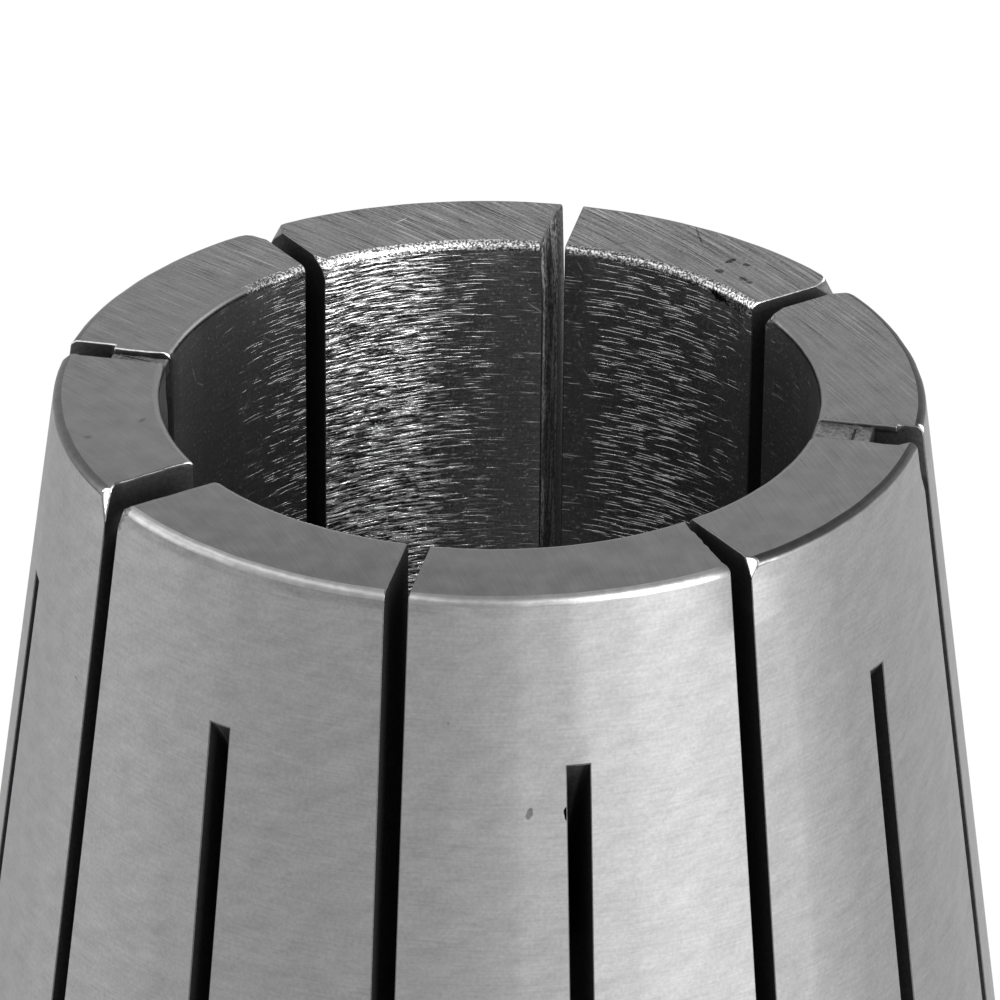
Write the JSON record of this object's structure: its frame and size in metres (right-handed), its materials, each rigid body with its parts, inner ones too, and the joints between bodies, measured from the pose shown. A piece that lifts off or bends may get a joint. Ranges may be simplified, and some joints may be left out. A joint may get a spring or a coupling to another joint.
{
  "type": "er collet",
  "caption": "Spring collet with an 8 degree taper, slotted from both ends, that grips a round shank in its bore; a groove and collar take the clamping nut.",
  "frame": {"origin": "centre of the front (large) end face, which the collet stands on", "axes": "+Z along the collet's axis, from the front face to the small rear face; +X along one of the slots that open at the rear face"},
  "size_m": [0.033, 0.033, 0.04],
  "materials": {
    "ground_steel": "hardened spring steel, taper fine ground, end face surface ground, bore turned"
  },
  "bodies": {
    "root": {"collet": "ground_steel"}
  },
  "joints": []
}
